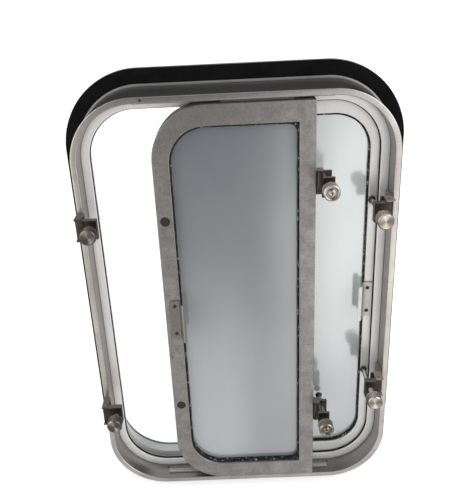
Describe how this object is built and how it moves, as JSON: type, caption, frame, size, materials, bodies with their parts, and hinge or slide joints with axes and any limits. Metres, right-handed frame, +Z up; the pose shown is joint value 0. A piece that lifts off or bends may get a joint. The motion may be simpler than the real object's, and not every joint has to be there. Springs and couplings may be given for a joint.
{
  "type": "opening porthole",
  "caption": "Rounded-rectangle ship's window: flanged frame, sliding glazed sashes with pull handles, and swing clamps with thumb screws that hold them shut.",
  "frame": {"origin": "centre of the whole window's box", "axes": "+X along the sash travel, to the right seen from the room; +Y out towards the hull side; +Z up"},
  "size_m": [0.552, 0.159, 0.78],
  "materials": {
    "frame_metal": "satin, brushed along the bar",
    "flange_metal": "dark paint over steel",
    "flange_rubber": "matt black",
    "seal_rubber": "black, slightly glossy",
    "ledge_metal": "bright satin",
    "glide_plastic": "pale grey slide plastic",
    "sash_metal": "satin grey, bead blasted",
    "pane_glass": "obscured blue-grey safety glass",
    "strike_metal": "brown, dull",
    "handle_steel": "satin stainless",
    "clamp_steel": "dark tarnished stainless",
    "pin_steel": "ground pin",
    "knob_steel": "turned, bright end faces",
    "foot_steel": "dark turned foot"
  },
  "bodies": {
    "frame": {"frame_sleeve": "frame_metal", "mounting_flange": "flange_metal", "flange_gasket": "flange_rubber", "track_ledge": "ledge_metal", "ledge_gasket": "seal_rubber", "rear_retaining_ring": "frame_metal", "front_track_bottom": "glide_plastic", "front_track_top": "glide_plastic", "left_upper_clamp_bracket": "clamp_steel", "left_upper_clamp_pin": "pin_steel", "left_lower_clamp_bracket": "clamp_steel", "left_lower_clamp_pin": "pin_steel", "right_upper_clamp_bracket": "clamp_steel", "right_upper_clamp_pin": "pin_steel", "right_lower_clamp_bracket": "clamp_steel", "right_lower_clamp_pin": "pin_steel"},
    "front_sash": {"front_sash_frame": "sash_metal", "front_glazing_seal": "seal_rubber", "front_glass": "pane_glass", "front_glass_retainer": "sash_metal", "front_strike_upper": "strike_metal", "front_strike_lower": "strike_metal", "front_handle": "handle_steel", "front_handle_screw_1": "handle_steel", "front_handle_screw_2": "handle_steel", "front_sash_gasket": "seal_rubber", "front_bottom_glide": "glide_plastic", "front_top_guide": "glide_plastic", "mid_upper_clamp_bracket": "clamp_steel", "mid_upper_clamp_pin": "pin_steel", "mid_lower_clamp_bracket": "clamp_steel", "mid_lower_clamp_pin": "pin_steel"},
    "rear_sash": {"rear_sash_frame": "sash_metal", "rear_glazing_seal": "seal_rubber", "rear_glass": "pane_glass", "rear_glass_retainer": "sash_metal", "rear_bottom_glide_1": "glide_plastic", "rear_bottom_glide_2": "glide_plastic", "rear_handle": "handle_steel", "rear_handle_screw_1": "handle_steel", "rear_handle_screw_2": "handle_steel"},
    "left_upper_arm": {"left_upper_clamp_arm": "clamp_steel"},
    "left_upper_foot": {"left_upper_clamp_foot": "foot_steel"},
    "left_upper_knob": {"left_upper_thumb_screw": "knob_steel"},
    "left_lower_arm": {"left_lower_clamp_arm": "clamp_steel"},
    "left_lower_foot": {"left_lower_clamp_foot": "foot_steel"},
    "left_lower_knob": {"left_lower_thumb_screw": "knob_steel"},
    "mid_upper_arm": {"mid_upper_clamp_arm": "clamp_steel"},
    "mid_upper_foot": {"mid_upper_clamp_foot": "foot_steel"},
    "mid_upper_knob": {"mid_upper_thumb_screw": "knob_steel"},
    "mid_lower_arm": {"mid_lower_clamp_arm": "clamp_steel"},
    "mid_lower_foot": {"mid_lower_clamp_foot": "foot_steel"},
    "mid_lower_knob": {"mid_lower_thumb_screw": "knob_steel"},
    "right_upper_arm": {"right_upper_clamp_arm": "clamp_steel"},
    "right_upper_foot": {"right_upper_clamp_foot": "foot_steel"},
    "right_upper_knob": {"right_upper_thumb_screw": "knob_steel"},
    "right_lower_arm": {"right_lower_clamp_arm": "clamp_steel"},
    "right_lower_foot": {"right_lower_clamp_foot": "foot_steel"},
    "right_lower_knob": {"right_lower_thumb_screw": "knob_steel"}
  },
  "joints": [
    {"name": "front_sash_slide", "type": "slide", "parent": "frame", "child": "front_sash", "axis": [1, 0, 0], "range_m": [-0.1115, 0.03]},
    {"name": "rear_sash_slide", "type": "slide", "parent": "frame", "child": "rear_sash", "axis": [1, 0, 0], "range_m": [-0.045, 0]},
    {"name": "left_upper_clamp_swing", "type": "hinge", "parent": "frame", "child": "left_upper_arm", "pos_m": [-0.2435, -0.043, 0.169], "axis": [0, 0, -1], "range_deg": [0, 95]},
    {"name": "left_upper_foot_travel", "type": "slide", "parent": "left_upper_arm", "child": "left_upper_foot", "axis": [0, -1, 0], "range_m": [0, 0.005]},
    {"name": "left_upper_thumb_screw_turn", "type": "hinge", "parent": "left_upper_foot", "child": "left_upper_knob", "pos_m": [-0.225, -0.0605, 0.169], "axis": [0, -1, 0], "range_deg": [0, 1440]},
    {"name": "left_lower_clamp_swing", "type": "hinge", "parent": "frame", "child": "left_lower_arm", "pos_m": [-0.2435, -0.043, -0.18], "axis": [0, 0, -1], "range_deg": [0, 95]},
    {"name": "left_lower_foot_travel", "type": "slide", "parent": "left_lower_arm", "child": "left_lower_foot", "axis": [0, -1, 0], "range_m": [0, 0.005]},
    {"name": "left_lower_thumb_screw_turn", "type": "hinge", "parent": "left_lower_foot", "child": "left_lower_knob", "pos_m": [-0.225, -0.0605, -0.18], "axis": [0, -1, 0], "range_deg": [0, 1440]},
    {"name": "mid_upper_clamp_swing", "type": "hinge", "parent": "front_sash", "child": "mid_upper_arm", "pos_m": [0.128, -0.0235, 0.222], "axis": [0, 0, -1], "range_deg": [0, 70]},
    {"name": "mid_upper_foot_travel", "type": "slide", "parent": "mid_upper_arm", "child": "mid_upper_foot", "axis": [0, -1, 0], "range_m": [0, 0.005]},
    {"name": "mid_upper_thumb_screw_turn", "type": "hinge", "parent": "mid_upper_foot", "child": "mid_upper_knob", "pos_m": [0.1368, -0.0605, 0.222], "axis": [0, -1, 0], "range_deg": [0, 1440]},
    {"name": "mid_lower_clamp_swing", "type": "hinge", "parent": "front_sash", "child": "mid_lower_arm", "pos_m": [0.128, -0.0235, -0.205], "axis": [0, 0, -1], "range_deg": [0, 70]},
    {"name": "mid_lower_foot_travel", "type": "slide", "parent": "mid_lower_arm", "child": "mid_lower_foot", "axis": [0, -1, 0], "range_m": [0, 0.005]},
    {"name": "mid_lower_thumb_screw_turn", "type": "hinge", "parent": "mid_lower_foot", "child": "mid_lower_knob", "pos_m": [0.1368, -0.0605, -0.205], "axis": [0, -1, 0], "range_deg": [0, 1440]},
    {"name": "right_upper_clamp_swing", "type": "hinge", "parent": "frame", "child": "right_upper_arm", "pos_m": [0.2315, -0.0305, 0.174], "axis": [0, 0, 1], "range_deg": [0, 95]},
    {"name": "right_upper_foot_travel", "type": "slide", "parent": "right_upper_arm", "child": "right_upper_foot", "axis": [0, -1, 0], "range_m": [0, 0.005]},
    {"name": "right_upper_thumb_screw_turn", "type": "hinge", "parent": "right_upper_foot", "child": "right_upper_knob", "pos_m": [0.217, -0.0605, 0.174], "axis": [0, -1, 0], "range_deg": [0, 1440]},
    {"name": "right_lower_clamp_swing", "type": "hinge", "parent": "frame", "child": "right_lower_arm", "pos_m": [0.2315, -0.0305, -0.152], "axis": [0, 0, 1], "range_deg": [0, 95]},
    {"name": "right_lower_foot_travel", "type": "slide", "parent": "right_lower_arm", "child": "right_lower_foot", "axis": [0, -1, 0], "range_m": [0, 0.005]},
    {"name": "right_lower_thumb_screw_turn", "type": "hinge", "parent": "right_lower_foot", "child": "right_lower_knob", "pos_m": [0.217, -0.0605, -0.152], "axis": [0, -1, 0], "range_deg": [0, 1440]}
  ],
  "couplings": [
    {"joint": "left_upper_thumb_screw_turn", "follows": "left_upper_foot_travel", "rad_per_m": 5026.5},
    {"joint": "left_lower_thumb_screw_turn", "follows": "left_lower_foot_travel", "rad_per_m": 5026.5},
    {"joint": "mid_upper_thumb_screw_turn", "follows": "mid_upper_foot_travel", "rad_per_m": 5026.5},
    {"joint": "mid_lower_thumb_screw_turn", "follows": "mid_lower_foot_travel", "rad_per_m": 5026.5},
    {"joint": "right_upper_thumb_screw_turn", "follows": "right_upper_foot_travel", "rad_per_m": 5026.5},
    {"joint": "right_lower_thumb_screw_turn", "follows": "right_lower_foot_travel", "rad_per_m": 5026.5}
  ]
}
